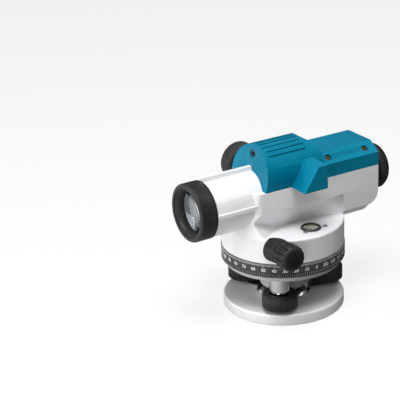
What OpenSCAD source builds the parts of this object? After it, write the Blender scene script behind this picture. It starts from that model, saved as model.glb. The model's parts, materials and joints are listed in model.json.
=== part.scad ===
// Automatic level (optical surveying level): +Z up, objective towards -Y, drawn in millimetres.

/* [Base plate and foot screws] */
// Radius of the round base plate (mm)
base_radius = 57; // [50:0.5:65]
// Thickness of the base plate (mm)
base_thickness = 11; // [9:0.5:14]
// Wall radius of the 5/8 inch tripod thread (mm)
tripod_thread_radius = 6.9; // [6.5:0.1:8]
// Radius of the steel ball at the foot of each screw (mm)
ball_radius = 4.5; // [3.5:0.1:5.5]
// Radius of a foot screw's ribbed knob (mm)
foot_knob_radius = 16.5; // [14:0.5:18]
// Height of a foot screw's ribbed knob (mm)
foot_knob_height = 14.5; // [12:0.5:18]
// Radius of the chromed barrel above each knob (mm)
foot_barrel_radius = 9.3; // [7:0.1:10]
// Number of ribs round a foot screw's knob
foot_knob_ribs = 48; // [24:2:60]

/* [Horizontal circle and turret] */
// Height of the graduated circle's rim (mm)
circle_height = 13.6; // [10:0.2:18]
// Radius of the round lower housing (mm)
turret_radius = 57.4; // [52:0.2:64]
// Height of the round lower housing up to its shoulder (mm)
turret_height = 23.2; // [20:0.2:28]
// Height of the line of sight above the shoulder (mm)
sight_rise = 27.8; // [25:0.2:34]

/* [Telescope] */
// Outer radius of the objective barrel (mm)
barrel_radius = 26.4; // [24:0.2:30]
// Outer radius of the black objective ring (mm)
objective_ring_radius = 27.1; // [25:0.1:32]
// Radius of the objective lenses (mm)
objective_radius = 19.8; // [16:0.1:21]
// Distance from the vertical axis to the front of the objective ring (mm)
front_reach = 102.8; // [95:0.2:115]
// Distance from the vertical axis to the rear wall of the body (mm)
rear_reach = 88.7; // [82:0.2:95]
// Half the width of the telescope body (mm)
body_half = 29.5; // [27:0.5:34]
// Bore radius of the tube that guides the focusing lens (mm)
focus_bore_radius = 15; // [12:0.5:16]
// Outer radius of the dioptre ring (mm)
dioptre_radius = 22; // [18:0.5:24]

/* [Cover] */
// Height of the flat rear roof above the seam of the cover (mm)
roof_rise = 21; // [17:0.5:26]
// Half the width of the flat roof between its two chamfers (mm)
roof_half = 17.3; // [12:0.1:22]
// Wall thickness of the moulded cover (mm)
cover_wall = 2.2; // [1.8:0.1:3]
// Number of grip grooves moulded over the hump
grip_grooves = 8; // [2:2:10]

/* [Controls] */
// Radius of the focusing knob (mm)
focus_knob_radius = 18.6; // [15:0.2:21]
// Length of the focusing knob (mm)
focus_knob_length = 17; // [12:0.5:22]
// Number of ribs round the focusing knob
focus_knob_ribs = 54; // [30:2:60]
// Radius of each fluted fine-motion knob (mm)
drive_knob_radius = 12.2; // [10:0.2:14]
// Distance from the middle plane to the end of a fine-motion knob (mm)
drive_reach = 73; // [68:0.5:78]
// Radius of the circular bubble's black ring (mm)
bubble_radius = 9.6; // [8:0.1:10]

/* [Hidden] */
$fn = 64;
eps = 0.01;
gap = 0.3;
fit = 0.05;
// stack of heights, from the base plate's underside
z_ball = base_thickness - 4.7;
z_boss = base_thickness + 4;
z_hub = z_boss + 2.5;
z_knob = base_thickness + 3;
z_knob_top = z_knob + foot_knob_height;
z_disc = z_knob_top + 15;
z_trib = z_disc + 3.9;
z_circle = z_trib + 0.7;
z_turret = z_circle + circle_height + gap;
z_shoulder = z_turret + turret_height;
z_sight = z_shoulder + sight_rise;
z_floor = z_shoulder - 3;
z_seam = z_sight + 13;
z_roof = z_seam + roof_rise;
z_eave = z_roof - 8.3;
z_ledge = z_shoulder + 20.5;
z_keel = z_shoulder - 1;
// plan positions
disc_radius = turret_radius - 3.4;
screw_circle = disc_radius - 9.8;
clamp_radius = screw_circle - foot_knob_radius - 2.1;
stem_radius = clamp_radius - 3.6;
screw_angles = [-38.4, 81.6, 201.6];
pin_radius = 1.65;
spindle_radius = 8;
sleeve_radius = 12;
hub_radius = 24.5;
circle_radius = turret_radius + 0.6;
skin = 3;
tower_radius = turret_radius - 3.9;
body_inner = body_half - skin;
scoop_x = body_half + 65.5;
scoop_r = 78;
bubble_pos = [turret_radius - 19.6, 5.7];
bubble_cup = bubble_radius - 1.1;
bubble_screw_pos = [[6.8, -10.7], [5.2, 12.3]];
// optics along the telescope, as distances along Y
objective_y = 9 - front_reach;
cell_radius = barrel_radius - 4.4;
focus_y = -18.2;
focus_z = z_sight + focus_bore_radius + 3.2;
rack_top = z_sight + focus_bore_radius - 0.1;
cell_half = 8;
pinion_shaft = 2.2;
reticle_y = rear_reach - 10;
eye_bore = 11;
eye_tube = 13;
dioptre_y = rear_reach + 7.5;
dioptre_end = rear_reach + 20.8;
cup_end = dioptre_end + 2.7;
comp_y = 38;
comp_floor = z_sight - 15;
hinge_z = z_sight + 9.5;
// fine motion
worm_z = z_floor - 5.8;
worm_y = -36;
worm_r = 4;
shaft_radius = 2.5;
wheel_radius = -worm_y - worm_r - gap;
collar_x = turret_radius - 3.4;
// cover
hump_front = -36.8;
hump_rear = 27;
hump_crown = z_seam + 36.5;
groove_start = hump_front + 10.6;
groove_end = hump_rear - 13.4;
prism_box = [[-9.5, z_seam], [15.5, z_seam], [15.5, z_seam + 22.5], [6, z_seam + 22.5]];
prism_x = body_half + 21.5;
peep_z = z_seam + 28;
cover_screw_y = [35.5, 77];
focus_knob_x = body_half + 2.8;

// ---------- helpers ----------
// a cylinder along Y from y0 to y1 on the line of sight
module along_y(r, y0, y1, z = z_sight) {
  translate([0, y1, z]) rotate([90, 0, 0]) cylinder(r = r, h = y1 - y0);
}

// a cylinder along X from x0 to x1
module along_x(r, x0, x1, y, z) {
  translate([x0, y, z]) rotate([0, 90, 0]) cylinder(r = r, h = x1 - x0);
}

// a lathe profile [[radius, y], ...] turned about the line of sight
module turned_y(points) {
  translate([0, 0, z_sight]) rotate([-90, 0, 0]) rotate_extrude() polygon(points);
}

// a profile drawn as [y, z] and extruded from x0 to x1
module side_profile(x0, x1) {
  translate([x0, 0, 0]) rotate([90, 0, 90]) linear_extrude(x1 - x0) children();
}

// a profile drawn as [x, z] and extruded from y0 to y1
module end_profile(y0, y1) {
  translate([0, y1, 0]) rotate([90, 0, 0]) linear_extrude(y1 - y0) children();
}

function rib_point(i, n, r, d) =
  let (step = 360 / n, k = floor(i / 4), m = i % 4, a = (k + [0, 0.28, 0.5, 0.78][m]) * step)
  [(m < 2 ? r : r - d) * cos(a), (m < 2 ? r : r - d) * sin(a)];

module rib_shape(r, n, d) {
  polygon([for (i = [0 : 4 * n - 1]) rib_point(i, n, r, d)]);
}

module at_screw(k) {
  a = screw_angles[k];
  translate([screw_circle * cos(a), screw_circle * sin(a), 0]) children();
}

module mirror_pair() {
  children();
  mirror([1, 0, 0]) children();
}

// ---------- base ----------
module spring_star(d = 0) {
  circle(r = stem_radius - 2 + d);
  for (a = screw_angles) rotate(a) {
    translate([0, -7 - d]) square([screw_circle, 14 + 2 * d]);
    translate([screw_circle, 0]) circle(r = 7 + d);
  }
}

module clamp_holes(r) {
  for (a = screw_angles) rotate(a + 60) translate([15, 0]) circle(r = r);
}

module base_plate() color("gainsboro") difference() {
  rotate_extrude() polygon([[0, 0], [base_radius - 1, 0], [base_radius, 1],
    [base_radius, base_thickness - 2.2], [base_radius - 0.7, base_thickness - 0.7],
    [base_radius - 2.2, base_thickness], [0, base_thickness]]);
  translate([0, 0, -eps]) cylinder(r = tripod_thread_radius, h = base_thickness + 1);
  translate([0, 0, base_thickness - 1.6]) linear_extrude(2) spring_star();
  for (k = [0 : 2]) at_screw(k) translate([0, 0, z_ball]) {
    sphere(r = ball_radius + gap);
    cylinder(r = ball_radius + gap, h = 6);
  }
  translate([0, 0, base_thickness - 6]) linear_extrude(7) clamp_holes(1.5);
}

module spring_plate() color("silver") translate([0, 0, base_thickness - 1.6])
  linear_extrude(1.6) difference() {
    spring_star();
    circle(r = tripod_thread_radius + 1.6);
    for (k = [0 : 2]) at_screw(k) circle(r = ball_radius - 0.8);
    clamp_holes(1.5);
  }

module clamp_disc() color("silver") translate([0, 0, base_thickness]) difference() {
  rotate_extrude() polygon([[tripod_thread_radius + 1.6, 0], [clamp_radius, 0], [clamp_radius, 1.6],
    [clamp_radius - 2.2, z_boss - base_thickness], [tripod_thread_radius + 1.6, z_boss - base_thickness]]);
  translate([0, 0, -eps]) linear_extrude(6) clamp_holes(1.5);
  translate([0, 0, 1.8]) linear_extrude(6) clamp_holes(2.9);
}

module clamp_screw(k) color("dimgray") rotate(screw_angles[k] + 60) translate([15, 0, 0]) difference() {
  union() {
    translate([0, 0, base_thickness - 6]) cylinder(r = 1.5, h = 8);
    translate([0, 0, base_thickness + 1.8]) cylinder(r = 2.9, h = 1.9);
  }
  translate([-2.2, -0.4, base_thickness + 3]) cube([4.4, 0.8, 2]);
}

// ---------- tribrach and foot screws ----------
module tribrach() color("darkgray") difference() {
  union() {
    translate([0, 0, z_disc]) cylinder(r = disc_radius, h = z_trib - z_disc);
    rotate_extrude() polygon([[0, z_hub], [stem_radius - 3, z_hub], [stem_radius, z_hub + 3], [stem_radius, z_disc], [0, z_disc]]);
    translate([0, 0, z_trib]) cylinder(r = hub_radius, h = 9);
    for (a = screw_angles) rotate(a)
      translate([0, -5.5, z_knob_top + 3.5]) cube([screw_circle, 11, z_disc - z_knob_top - 3.5]);
  }
  translate([0, 0, z_hub - eps]) cylinder(r = sleeve_radius + 1.2, h = 4.5);
  translate([0, 0, z_hub]) cylinder(r = sleeve_radius, h = z_trib + 10 - z_hub);
  for (k = [0 : 2]) at_screw(k) {
    translate([0, 0, z_knob_top - 1]) cylinder(r = foot_barrel_radius, h = z_disc - z_knob_top + 1);
    cylinder(r = foot_barrel_radius - 2.3, h = z_trib + 1);
  }
}

module foot_bush(k) color("white") at_screw(k) difference() {
  union() {
    translate([0, 0, z_knob_top + 0.4]) cylinder(r = foot_barrel_radius, h = z_disc - z_knob_top - 0.4);
    translate([0, 0, z_disc - eps]) cylinder(r = foot_barrel_radius - 2.3, h = z_trib - z_disc);
  }
  cylinder(r = 4 + fit, h = z_trib - 1.2);
}

module axis_sleeve() color("goldenrod") difference() {
  translate([0, 0, z_hub + 4.5 - eps]) cylinder(r = sleeve_radius, h = z_floor - 2.9 - z_hub - 4.5);
  cylinder(r = spindle_radius + fit, h = z_floor);
}

module foot_ball(k) color("silver") at_screw(k) {
  translate([0, 0, z_ball]) sphere(r = ball_radius);
  translate([0, 0, z_ball]) cylinder(r = 2.8, h = z_knob - 1 - z_ball);
  translate([0, 0, z_ball]) cylinder(r = pin_radius, h = z_knob + 4 - z_ball);
}

module foot_spindle(k) color("silver") at_screw(k) difference() {
  translate([0, 0, z_knob - 0.7]) cylinder(r = 4, h = z_trib - 5.4 - z_knob + 0.7);
  translate([0, 0, z_knob - 1]) cylinder(r = pin_radius + fit, h = 5.5);
}

module foot_knob(k) color([0.09, 0.09, 0.1]) at_screw(k) difference() {
  union() {
    translate([0, 0, z_knob + 1.2]) linear_extrude(foot_knob_height - 2.4)
      rib_shape(foot_knob_radius, foot_knob_ribs, 0.6);
    translate([0, 0, z_knob]) cylinder(r = foot_knob_radius - 0.9, h = foot_knob_height);
  }
  translate([0, 0, z_knob - 1]) cylinder(r = 4, h = foot_knob_height + 2);
  translate([0, 0, z_knob_top - 3.4]) cylinder(r = foot_barrel_radius + 0.9, h = 4);
}

// ---------- horizontal circle ----------
module horizontal_circle() color([0.12, 0.12, 0.13]) {
  rotate_extrude() translate([0, z_circle]) polygon([[hub_radius + 0.06, 1.9], [circle_radius - 6, 1.9],
    [circle_radius - 6, 0], [circle_radius - 1, 0], [circle_radius - 1, 4.2], [circle_radius, 4.6],
    [circle_radius, circle_height - 0.6], [circle_radius - 0.6, circle_height],
    [circle_radius - 5, circle_height], [circle_radius - 5, 4.9], [hub_radius + 0.06, 4.9]]);
  translate([0, 0, z_circle + 0.4]) linear_extrude(4) difference() {
    rib_shape(circle_radius, 90, 1.1);
    circle(r = circle_radius - 4);
  }
}

// ---------- alidade housing ----------
module scoop() mirror_pair() hull() {
  translate([scoop_x, 8, z_shoulder]) cylinder(r = scoop_r, h = 0.2);
  translate([body_half, -70, z_ledge]) cube([60, 118.4, 0.1]);
}

// plan of the tower: the turret's circle cut to the body's width, front corners rounded
module tower_plan(half, round) {
  c = [half - round, -sqrt(pow(tower_radius - round, 2) - pow(half - round, 2))];
  difference() {
    intersection() {
      circle(r = tower_radius);
      translate([-half, -60]) square([2 * half, 108.6]);
    }
    for (s = [-1, 1]) polygon([[s * c[0], c[1]], [s * 60, c[1]], [s * 60, 2 * c[1]], [s * 2 * c[0], 2 * c[1]]]);
  }
  for (s = [-1, 1]) translate([s * c[0], c[1]]) circle(r = round);
}

module top_rib() translate([-2, 16.9 - front_reach, z_sight + barrel_radius - 1])
  cube([4, front_reach - 44.9, 5]);

module housing_outside() {
  rotate_extrude() translate([0, z_turret]) polygon([[0, 0], [turret_radius, 0],
    [turret_radius, turret_height - 1.5], [turret_radius - 0.5, turret_height - 0.5],
    [turret_radius - 1.5, turret_height], [0, turret_height]]);
  difference() {
    union() {
      intersection() {
        translate([0, 0, z_floor]) cylinder(r1 = turret_radius, r2 = tower_radius, h = z_ledge - z_floor);
        translate([-body_half - 7, -60, z_floor]) cube([2 * body_half + 14, 108.6, z_ledge - z_floor]);
      }
      rear_body(30, 0);
      translate([0, 0, z_ledge - 1]) linear_extrude(z_seam - z_ledge + 1) tower_plan(body_half, 7);
    }
    scoop();
  }
  along_y(barrel_radius, 16 - front_reach, -20);
  top_rib();
  mirror_pair() translate([barrel_radius - 2, 16.9 - front_reach, z_sight - 0.6]) cube([4, 44, 3.2]);
}

// side view of the rear body, drawn in by d, with its lower rear corner rounded
module rear_side(y0, y1, z0, r, d) difference() {
  translate([y0, z0 + d]) square([y1 - y0 - d, z_seam - z0 + 20 * sign(d)]);
  difference() {
    translate([y1 - r, z0 - 1]) square([r + 1, r + 1]);
    translate([y1 - r, z0 + r]) circle(r = r - d);
  }
}

module rear_body(y0, d) {
  side_profile(d - body_half, body_half - d) rear_side(y0, rear_reach, z_keel + 4.2, 12, d);
  if (d == 0) side_profile(1.2 - body_half, body_half - 1.2) rear_side(y0, rear_reach - 7, z_keel, 12, d);
}

module housing_hollows() {
  translate([0, 0, z_turret - eps]) cylinder(r = turret_radius - skin, h = z_floor - z_turret + eps);
  translate([-16.5, -34, z_shoulder + 6]) cube([33, 94, 60]);
  translate([-22, -34, z_sight - 14]) cube([44, 94, 60]);
  translate([-body_inner, -34, z_ledge + 1]) cube([2 * body_inner, 94, 60]);
  along_y(cell_radius, -47, -33);
  rear_body(turret_radius, skin);
}

module housing() color("gainsboro") difference() {
  union() {
    difference() {
      housing_outside();
      housing_hollows();
    }
    along_y(focus_bore_radius + 2.6, -44, 8);
    translate([-6, -44, z_shoulder - eps]) cube([12, 52, sight_rise]);
  }
  along_y(cell_radius, -front_reach, -46);
  along_y(focus_bore_radius, -50, 9);
  translate([-3.4, -43, z_sight]) cube([6.8, 52, focus_bore_radius + 4]);
  translate([-body_half, -31, z_seam]) cube([2 * body_half, 50, barrel_radius - 13]);
  translate([-body_half, -28, z_seam]) cube([2 * body_half, 50, 30]);
  along_y(12, rear_reach - 5, rear_reach + 1);
  along_x(5.6, -75, 75, worm_y, worm_z);
  translate([bubble_pos[0], bubble_pos[1], z_floor - 1]) cylinder(r = bubble_cup, h = 6);
  for (p = bubble_screw_pos)
    translate([bubble_pos[0] + p[0], bubble_pos[1] + p[1], z_floor - 1]) cylinder(r = 1.2, h = 6);
}

module bottom_cover() color("darkgray") difference() {
  translate([0, 0, z_turret]) cylinder(r = turret_radius - skin, h = 2.6);
  translate([0, 0, z_turret - 1]) cylinder(r = sleeve_radius + 1, h = 5);
}

module vertical_spindle() color("silver") {
  translate([0, 0, z_floor - 2]) cylinder(r = 17, h = 2);
  translate([0, 0, z_hub + 4.8]) cylinder(r = spindle_radius, h = z_floor - 2 - z_hub - 4.8);
  translate([0, 0, z_hub]) cylinder(r = spindle_radius - 2, h = 6);
}

module spindle_nut() color("silver") difference() {
  translate([0, 0, z_hub + 0.3]) cylinder(r = sleeve_radius - 1, h = 3.9, $fn = 6);
  translate([0, 0, z_hub - 1]) cylinder(r = spindle_radius - 2, h = 8);
}

// ---------- top cover ----------
module roof_shape(d = 0) {
  polygon([[-body_half + d, z_seam - 5 * d], [body_half - d, z_seam - 5 * d],
    [body_half - d, z_eave - 0.4 * d], [roof_half - 0.5 * d, z_roof - d],
    [-roof_half + 0.5 * d, z_roof - d], [-body_half + d, z_eave - 0.4 * d]]);
}

module hump_shape(d = 0) {
  r = body_half - d;
  translate([-r, z_seam - 5 * d]) square([2 * r, hump_crown - body_half - z_seam + 5 * d]);
  translate([0, hump_crown - body_half]) circle(r = r);
}

module hump_side(d = 0) {
  difference() {
    union() {
      translate([hump_front + d, z_seam - 5 * d]) square([44.8 - d, 60]);
      translate([8 - eps, z_seam - 5 * d]) square([hump_rear - 8 - d, hump_crown - 25 - z_seam + 5 * d]);
      intersection() {
        translate([8, hump_crown - 25]) circle(r = 25.6 - d);
        translate([8 - eps, z_seam]) square([hump_rear - 8 - d, 60]);
      }
    }
    translate([hump_front + d, z_seam]) rotate(79) translate([-1, 0]) square([70, 40]);
  }
}

module hump(d = 0) intersection() {
  end_profile(hump_front - 1, hump_rear + 1) hump_shape(d);
  side_profile(-body_half - 1, body_half + 1) hump_side(d);
}

module groove_set() for (i = [0 : grip_grooves - 1]) {
  a = (i - (grip_grooves - 1) / 2) * 11.7;
  translate([0, 0, hump_crown - body_half]) rotate([0, a, 0])
    translate([0, groove_end, body_half - 0.1]) rotate([90, 0, 0])
      cylinder(r = 0.9, h = groove_end - groove_start);
}

module top_cover() color([0, 0.5, 0.65]) difference() {
  union() {
    end_profile(20, rear_reach) roof_shape();
    hump();
    side_profile(body_half - 3, prism_x) polygon(prism_box);
  }
  end_profile(20, rear_reach - cover_wall) roof_shape(cover_wall);
  hump(cover_wall);
  side_profile(body_half - 4, prism_x - cover_wall) polygon([[prism_box[0][0] + 3.2, z_seam - 1],
    [13.3, z_seam - 1], [13.3, z_seam + 20.3], [7.2, z_seam + 20.3], [prism_box[0][0] + 3.2, z_seam + 1.6]]);
  translate([body_half + 2.5, 12, z_seam + 4]) cube([17, 5, 14]);
  along_y(barrel_radius + 0.01, -60, -18);
  top_rib();
  groove_set();
  along_y(4, -60, -20, peep_z);
  along_y(2.2, -60, 40, peep_z);
  along_x(pinion_shaft + fit, -body_half - 5, 0, focus_y, focus_z);
  for (s = [-1, 1]) for (y = cover_screw_y) cover_screw_place(s, y) {
    translate([0, 0, -2.4]) cylinder(r = 3.4, h = 5);
    translate([0, 0, -6]) cylinder(r = 1.5, h = 8);
  }
}

// origin on the middle of the chamfer, Z along its normal
module cover_screw_place(s, y) {
  xm = (body_half + roof_half) / 2;
  tilt = atan2(z_roof - z_eave, body_half - roof_half);
  translate([s * xm, y, (z_roof + z_eave) / 2]) rotate([0, s * tilt, 0]) children();
}

module cover_screw(s, y) color("dimgray") cover_screw_place(s, y) difference() {
  union() {
    translate([0, 0, -2.4]) cylinder(r = 2.9, h = 1.2);
    translate([0, 0, -7]) cylinder(r = 1.5, h = 5);
  }
  for (a = [0, 90]) rotate(a) translate([-1.6, -0.35, -1.7]) cube([3.2, 0.7, 1]);
}

// ---------- objective ----------
module objective_ring() color([0.07, 0.07, 0.08]) {
  r = objective_ring_radius;
  f = -front_reach;
  turned_y([[r - 1.6, f], [r - 0.5, f + 0.5], [r, f + 1.6], [r, f + 16.9], [barrel_radius + 0.01, f + 16.9],
    [barrel_radius + 0.01, f + 16], [cell_radius, f + 16], [cell_radius, f + 4.2],
    [objective_radius + 0.4, f + 3.4], [r - 2.6, f]]);
}

module objective_cell() color([0.07, 0.07, 0.08]) {
  f = -front_reach;
  turned_y([[cell_radius, f + 4.3], [cell_radius, f + 28], [objective_radius - 1.2, f + 28],
    [objective_radius - 1.2, objective_y + 9], [objective_radius, objective_y + 9],
    [objective_radius, f + 4.3]]);
}

// arc of a lens face, from the axis to the rim, bulging towards -Y when s is 1
function lens_arc(r, y, s, sag, n = 16) =
  [for (i = [0 : n]) let (x = r * i / n) [x, y + s * sag * pow(x / r, 2)]];

module objective_crown() color([0.7, 0.85, 0.95, 0.5])
  turned_y(concat(lens_arc(objective_radius, objective_y - 2.2, 1, 2.2),
    [for (p = lens_arc(objective_radius, objective_y + 4.6, -1, 1.6)) [objective_radius - p[0], p[1] * 0 +
      objective_y + 3 + 1.6 * (1 - pow((objective_radius - p[0]) / objective_radius, 2))]]));

module objective_flint() color([0.7, 0.85, 0.95, 0.5])
  turned_y(concat(
    [for (i = [0 : 16]) let (x = objective_radius * i / 16)
      [x, objective_y + 3.1 + 1.6 * (1 - pow(x / objective_radius, 2))]],
    [[objective_radius, objective_y + 9], [0, objective_y + 7.4]]));

// ---------- eyepiece ----------
module eyepiece_block() color([0.08, 0.08, 0.09])
  turned_y([[12, rear_reach - 3], [12, rear_reach], [dioptre_radius + 2.5, rear_reach],
    [dioptre_radius + 2.5, rear_reach + 3], [dioptre_radius + 1, rear_reach + 7],
    [eye_tube, rear_reach + 7], [eye_tube, rear_reach + 18], [eye_bore, rear_reach + 18],
    [eye_bore, reticle_y + 1.5], [9, reticle_y + 1.5], [9, reticle_y - 1],
    [12, reticle_y - 1]]);

module reticle() color([0.7, 0.85, 0.95, 0.5]) along_y(eye_bore, reticle_y + 1.5, reticle_y + 3);

module dioptre_ring() color([0.1, 0.1, 0.11])
  turned_y([[eye_tube + fit, dioptre_y], [dioptre_radius - 0.8, dioptre_y], [dioptre_radius, dioptre_y + 0.8],
    [dioptre_radius, dioptre_end - 3], [dioptre_radius - 1, dioptre_end - 0.8],
    [dioptre_radius - 3, dioptre_end], [8, dioptre_end], [8, dioptre_end - 1.8],
    [eye_tube + fit, dioptre_end - 1.8]]);

module eye_cup() color([0.05, 0.05, 0.05])
  turned_y([[8, dioptre_end], [15, dioptre_end], [14.4, cup_end], [12.6, cup_end], [8, dioptre_end + 1.2]]);

module eye_cell() color("gray")
  turned_y([[eye_bore - fit, rear_reach + 4], [eye_bore - fit, rear_reach + 16.6], [7.6, rear_reach + 16.6],
    [7.6, rear_reach + 15.4], [9.2, rear_reach + 14.4], [9.2, rear_reach + 4]]);

module eye_lens() color([0.7, 0.85, 0.95, 0.5])
  turned_y(concat(lens_arc(9.2, rear_reach + 6.2, 1, 2), [[9.2, rear_reach + 14.3], [0, rear_reach + 14.3]]));

// ---------- circular bubble ----------
module bubble_ring() color([0.06, 0.06, 0.06]) translate([bubble_pos[0], bubble_pos[1], z_shoulder]) difference() {
  union() {
    rotate_extrude() polygon([[0, 0], [bubble_radius, 0], [bubble_radius, 0.9], [bubble_radius - 0.7, 1.6],
      [0, 1.6]]);
    translate([0, 0, -5.4]) cylinder(r = bubble_cup, h = 5.6);
  }
  translate([0, 0, -4]) cylinder(r = bubble_radius - 2.4, h = 10);
}

module bubble_vial() color([0.8, 0.95, 0.6, 0.5]) translate([bubble_pos[0], bubble_pos[1], z_shoulder - 4])
  rotate_extrude() polygon([[0, 0], [bubble_radius - 2.4, 0], [bubble_radius - 2.4, 4.6], [4, 5.2], [0, 5.4]]);

module bubble_screw(k) color("silver")
  translate([bubble_pos[0] + bubble_screw_pos[k][0], bubble_pos[1] + bubble_screw_pos[k][1], 0]) difference() {
    union() {
      translate([0, 0, z_shoulder]) cylinder(r = 2.3, h = 1.2);
      translate([0, 0, z_shoulder - 4]) cylinder(r = 1.2, h = 4.2);
    }
    translate([0, 0, z_shoulder + 0.3]) cylinder(r = 1.1, h = 2, $fn = 6);
  }

module bubble_prism() color([0.7, 0.85, 0.95, 0.5])
  side_profile(body_half + 1, prism_x - cover_wall) polygon([[prism_box[0][0] + 3.2, z_seam + 0.2],
    [13.3, z_seam + 0.2], [13.3, z_seam + 20.3], [7.2, z_seam + 20.3], [prism_box[0][0] + 3.2, z_seam + 1.6]]);

module peep_tube() color([0.06, 0.06, 0.06])
  translate([0, 0, peep_z - z_sight]) turned_y([[2.2, hump_front + 6.5], [4, hump_front + 6.5], [4, -20],
    [3, -20], [3, hump_rear - 9], [2.2, hump_rear - 9]]);

// ---------- focusing ----------
module focus_knob() color([0.08, 0.08, 0.09]) translate([-focus_knob_x, focus_y, focus_z])
  rotate([0, -90, 0]) difference() {
    union() {
      translate([0, 0, 1]) linear_extrude(focus_knob_length - 2.6)
        rib_shape(focus_knob_radius, focus_knob_ribs, 0.7);
      cylinder(r = focus_knob_radius - 1, h = focus_knob_length - 0.6);
      cylinder(r = focus_knob_radius - 4, h = focus_knob_length);
    }
    translate([0, 0, -1]) cylinder(r = pinion_shaft, h = focus_knob_length - 4);
    translate([0, 0, -eps]) rotate_extrude() polygon([[5.5, 0], [focus_knob_radius - 3, 0],
      [focus_knob_radius - 3, focus_knob_length - 4], [5.5, focus_knob_length - 4]]);
  }

module focus_pinion() color("silver") {
  along_x(pinion_shaft, 5 - focus_knob_x - focus_knob_length, 0, focus_y, focus_z);
  translate([-3.1, focus_y, focus_z]) rotate([0, 90, 0]) linear_extrude(6.2) rib_shape(3, 12, 0.5);
}

module focus_cell() color([0.15, 0.15, 0.16]) difference() {
  union() {
    along_y(focus_bore_radius - fit, focus_y - cell_half, focus_y + cell_half);
    translate([-3, focus_y - 14, z_sight + focus_bore_radius - 2.8]) cube([6, 28, 2.6]);
  }
  along_y(focus_bore_radius - 2.4, focus_y - cell_half - 1, focus_y + cell_half + 1);
}

module focus_lens() color([0.7, 0.85, 0.95, 0.5])
  turned_y([[0, focus_y - 0.9], [4, focus_y - 1.1], [8, focus_y - 1.7], [focus_bore_radius - 2.4, focus_y - 2.9],
    [focus_bore_radius - 2.4, focus_y + 2.9], [8, focus_y + 1.7], [4, focus_y + 1.1], [0, focus_y + 0.9]]);

// ---------- compensator ----------
module comp_frame() color("gray") {
  mirror_pair() translate([13, comp_y - 16, comp_floor + 1]) cube([3, 30, 28]);
  translate([-16.4, comp_y - 16, comp_floor - 6.8]) cube([32.8, 30, 7.8]);
}

module comp_prism() color([0.7, 0.85, 0.95, 0.5])
  side_profile(-13, 13) polygon([[comp_y - 16, z_sight - 9], [comp_y - 7, z_sight - 9],
    [comp_y - 7, z_sight + 6], [comp_y - 16, z_sight + 12]]);

module pendulum() color("goldenrod") {
  along_x(1.2, -12.6, 12.6, comp_y, hinge_z);
  translate([-10, comp_y - 1.2, z_sight - 11]) cube([2.5, 2.4, hinge_z - z_sight + 11]);
  translate([7.5, comp_y - 1.2, z_sight - 11]) cube([2.5, 2.4, hinge_z - z_sight + 11]);
  translate([-10, comp_y - 6, z_sight - 13]) cube([20, 12, 2]);
}

module pendulum_prism() color([0.7, 0.85, 0.95, 0.5])
  side_profile(-7.5, 7.5) polygon([[comp_y - 5, z_sight - 11], [comp_y + 5, z_sight - 11],
    [comp_y + 5, z_sight + 1], [comp_y, z_sight + 5], [comp_y - 5, z_sight + 1]]);

// ---------- fine motion ----------
module drive_shaft() color("silver") {
  along_x(shaft_radius, 5 - drive_reach, drive_reach - 5, worm_y, worm_z);
  along_x(worm_r, -9, 9, worm_y, worm_z);
}

module drive_knob() color([0.07, 0.07, 0.08]) difference() {
  union() {
    along_x(drive_knob_radius - 1.4, collar_x + gap, drive_reach - 1.2, worm_y, worm_z);
    along_x(drive_knob_radius, collar_x + 2, drive_reach - 1.8, worm_y, worm_z);
    along_x(drive_knob_radius - 2, collar_x + 4, drive_reach, worm_y, worm_z);
  }
  along_x(shaft_radius, 0, drive_reach - 5, worm_y, worm_z);
  for (a = [0 : 30 : 330])
    along_x(1.5, 0, drive_reach + 1, worm_y + (drive_knob_radius + 0.7) * cos(a),
      worm_z + (drive_knob_radius + 0.7) * sin(a));
}

module drive_collar() color([0.07, 0.07, 0.08]) difference() {
  union() {
    translate([collar_x - 14, worm_y, worm_z]) rotate([0, 90, 0])
      cylinder(r1 = drive_knob_radius + 0.2, r2 = drive_knob_radius - 1.4, h = 14);
    along_x(5.6, turret_radius - 16, collar_x, worm_y, worm_z);
  }
  difference() {
    translate([0, 0, z_turret - 5]) cylinder(r = turret_radius, h = turret_height + 10);
    along_x(5.6, 0, collar_x, worm_y, worm_z);
  }
  along_x(shaft_radius + fit, 0, collar_x + 1, worm_y, worm_z);
}

module drive_wheel() color("goldenrod") translate([0, 0, worm_z - 2.5]) linear_extrude(5) difference() {
  rib_shape(wheel_radius, 80, 0.7);
  circle(r = sleeve_radius + 0.06);
}

base_plate();
spring_plate();
clamp_disc();
clamp_screw(0);  // clamp_screw_1
clamp_screw(1);  // clamp_screw_2
clamp_screw(2);  // clamp_screw_3
tribrach();
foot_bush(0);  // foot_bush_1
foot_bush(1);  // foot_bush_2
foot_bush(2);  // foot_bush_3
axis_sleeve();
foot_ball(0);  // foot_ball_1
foot_ball(1);  // foot_ball_2
foot_ball(2);  // foot_ball_3
foot_spindle(0);  // foot_spindle_1
foot_spindle(1);  // foot_spindle_2
foot_spindle(2);  // foot_spindle_3
foot_knob(0);  // foot_knob_1
foot_knob(1);  // foot_knob_2
foot_knob(2);  // foot_knob_3
horizontal_circle();
housing($fn = 96);
bottom_cover();
vertical_spindle();
spindle_nut();
top_cover();
cover_screw(1, cover_screw_y[0]);  // cover_screw_1
cover_screw(1, cover_screw_y[1]);  // cover_screw_2
cover_screw(-1, cover_screw_y[0]);  // cover_screw_3
cover_screw(-1, cover_screw_y[1]);  // cover_screw_4
objective_ring();
objective_cell();
objective_crown();
objective_flint();
eyepiece_block();
reticle();
dioptre_ring();
eye_cup();
eye_cell();
eye_lens();
bubble_ring();
bubble_vial();
bubble_screw(0);  // bubble_screw_1
bubble_screw(1);  // bubble_screw_2
bubble_prism();
peep_tube();
focus_knob();
focus_pinion();
focus_cell();
focus_lens();
comp_frame();
comp_prism();
pendulum();
pendulum_prism();
drive_shaft();
drive_collar();  // drive_collar_right
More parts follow.
